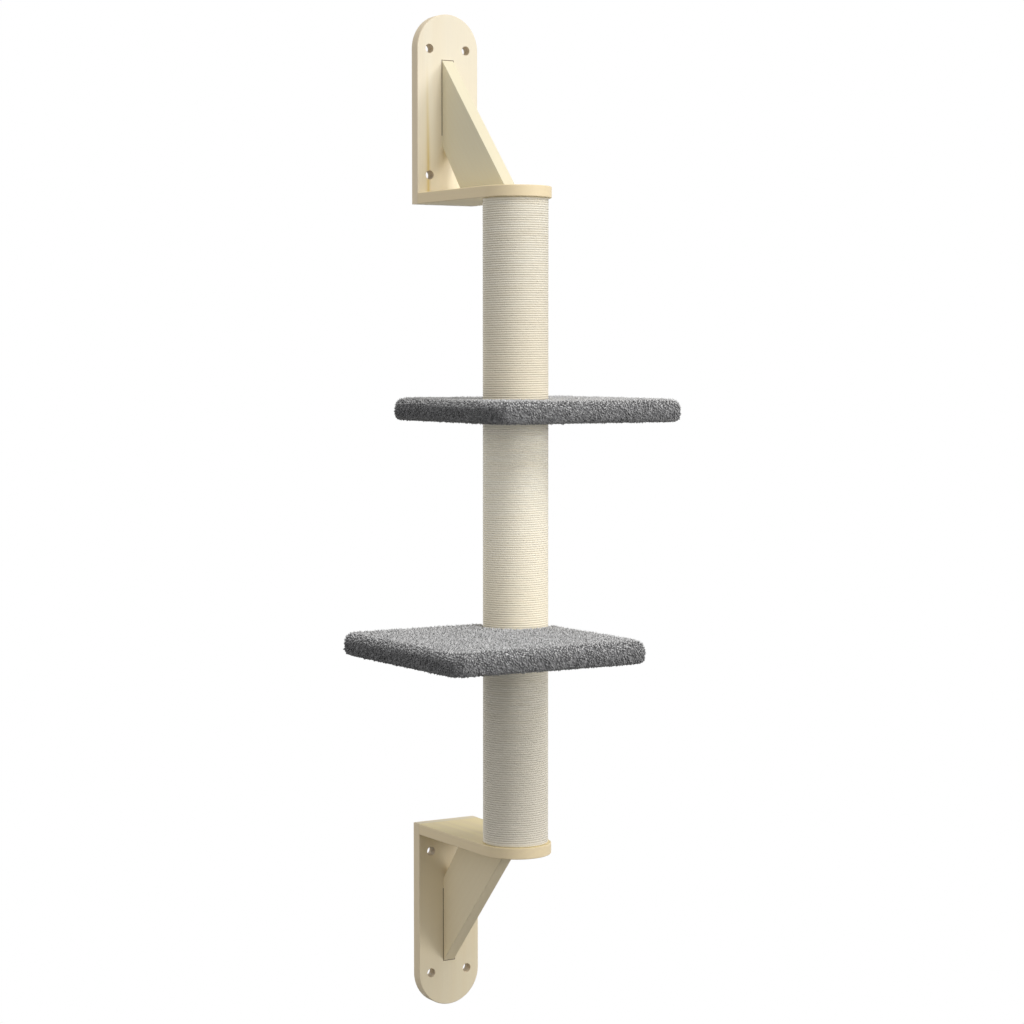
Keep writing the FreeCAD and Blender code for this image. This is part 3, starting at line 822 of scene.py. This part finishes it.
def coverPlatform(level, seed, material):
    surface = plushSurface(level, material)
    skin = bpy.data.objects.new(level + "Skin", surface.data.copy())
    scene.collection.objects.link(skin)
    solid = skin.modifiers.new("cloth", "SOLIDIFY")
    solid.thickness = plushSizes["cloth"]
    solid.offset = -1
    helpers = [skin]
    growth = Growth(level + "Pile")
    ground = growth.node("NodeGroupInput")
    parts = [growth.node("ObjectInfo", out="Geometry", Object=skin)]
    for number, shape in enumerate((locks, hairs)):
        tufts = [tuft(f"{level}Tuft{number}{index}", shape, lean, material)
                 for index, lean in enumerate(shape["leans"])]
        helpers += tufts
        parts.append(pileLayer(growth, ground, tufts, shape, seed + 10 * number))
    growth.node("NodeGroupOutput", Covered=growth.node("JoinGeometry", Geometry=parts))
    modifier = surface.modifiers.new("pile", "NODES")
    modifier.node_group = growth.tree
    applyModifiers(surface)
    for helper in helpers:
        bpy.data.objects.remove(helper)
    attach(surface, "root")
    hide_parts(level + "_platform_cover")
    print(level, "plush", len(surface.data.polygons), "faces")


def foamPaint():
    paint = Paint("foamPores")
    pores = paint.node("TexVoronoi", Vector=paint.place(), Scale=900.0)
    shade = paint.noise(paint.place(), (120, 120, 120))
    # painted shade: the foam is darker in its pores
    share = paint.ramp(pores, (0.2, 0.0), (0.6, 1.0))
    colour = paint.mix(share, colourOf(150, 146, 134), colourOf(216, 212, 198))
    return paint.finish(BaseColor=paint.mix(shade * 0.3, colour, colourOf(196, 184, 150)), Roughness=0.95,
                        Normal=paint.bump(pores, 0.4 * mm))


def liningPaint():
    # pressed black felt with a grid of small dimples, painted darker in the low lines between them as painted
    # shade
    paint = Paint("liningFelt")
    dimple = 0.9 * mm
    place = paint.place()
    x, y, z = paint.axes(place)
    dimples = paint.sum("PINGPONG", x, dimple) * paint.sum("PINGPONG", y, dimple) / dimple ** 2
    threads = paint.noise(place, (800, 800, 800), detail=5)
    cloud = paint.noise(place, (40, 40, 40))
    level = threads * 0.5 + cloud * 0.3 + dimples * 0.2
    colour = paint.mix(level, colourOf(34, 34, 36), colourOf(86, 86, 88))
    return paint.finish(BaseColor=colour, Roughness=0.92,
                        Normal=paint.bump(dimples * 0.5 + threads, 0.15 * mm))


def padPlatform(level, material):
    # the thin foam between board and cover
    rounds = {"corner": 14 * mm, "topRound": 2 * mm, "lowRound": 0.6 * mm}
    low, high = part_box(level + "_platform_foam_pad")
    bm = slabMesh(low, high, **rounds)
    pad = pieceFrom(bm, level + "_platform_foam", material)
    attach(pad, "root")
    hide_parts(level + "_platform_foam_pad")


def linePlatform(level, material):
    # a thin sheet drawn tight by its staples, which lift it a little between them
    low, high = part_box(level + "_platform_lining")
    felt = {"up": 1.2 * mm, "sag": 0.5 * mm, "thick": 0.7 * mm, "cells": 46, "waves": 26, "edge": 8}
    bm = bmesh.new()
    size = high - low
    middle = (low + high) / 2
    spot = Matrix.Translation((middle.x, middle.y, low.z + felt["up"]))
    bmesh.ops.create_grid(bm, x_segments=felt["cells"], y_segments=felt["cells"], size=0.5,
                          matrix=spot @ Matrix.Diagonal((size.x, size.y, 1, 1)))
    for vert in bm.verts:
        u = (vert.co.x - middle.x) / size.x * 2
        v = (vert.co.y - middle.y) / size.y * 2
        free = (1 - u ** felt["edge"]) * (1 - v ** felt["edge"])
        vert.co.z += free * (noise.noise(vert.co * felt["waves"]) * felt["sag"] - felt["sag"] / 2)
    lining = pieceFrom(bm, level + "_platform_felt", material)
    solid = lining.modifiers.new("felt", "SOLIDIFY")
    solid.thickness = felt["thick"]
    solid.offset = 0
    applyModifiers(lining)
    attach(lining, "root")
    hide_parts(level + "_platform_lining")


def makePlatforms():
    pile, foam, felt = plushPaint(), foamPaint(), liningPaint()
    for seed, level in ((11, "lower"), (57, "upper")):
        coverPlatform(level, seed, pile)
        padPlatform(level, foam)
        linePlatform(level, felt)


# floor

def addFloor():
    # pale to the eye, but dull to other light, so that it throws little up under the object
    ground = {"middle": (0, -0.2, -0.9), "radius": 1.6, "sides": 96,
              "tone": colourOf(236, 235, 232), "dull": colourOf(90, 90, 90)}
    bm = bmesh.new()
    bmesh.ops.create_circle(bm, cap_ends=True, segments=ground["sides"], radius=ground["radius"],
                            matrix=Matrix.Translation(ground["middle"]))
    paint = Paint("paleFloor")
    speck = paint.noise(paint.place(), (30, 30, 30))
    tone = paint.mix(speck * 0.2, ground["tone"], colourOf(228, 226, 222))
    pale = paint.node("BsdfDiffuse", Color=tone)
    dull = paint.node("BsdfDiffuse", Color=ground["dull"])
    shown = paint.node("MixShader", Fac=paint.seen(), Shader=dull, Shader_001=pale)
    paint.node("OutputMaterial", Surface=shown)
    pieceFrom(bm, "floor", paint.material, smooth=False)


addCamera()
addLamps()
addSky()
addFloor()
print("stage set")
dressBrackets()
dressInside()
print("brackets and fittings dressed")
windRopes()
print("ropes wound")
makePlatforms()
print("platforms covered")
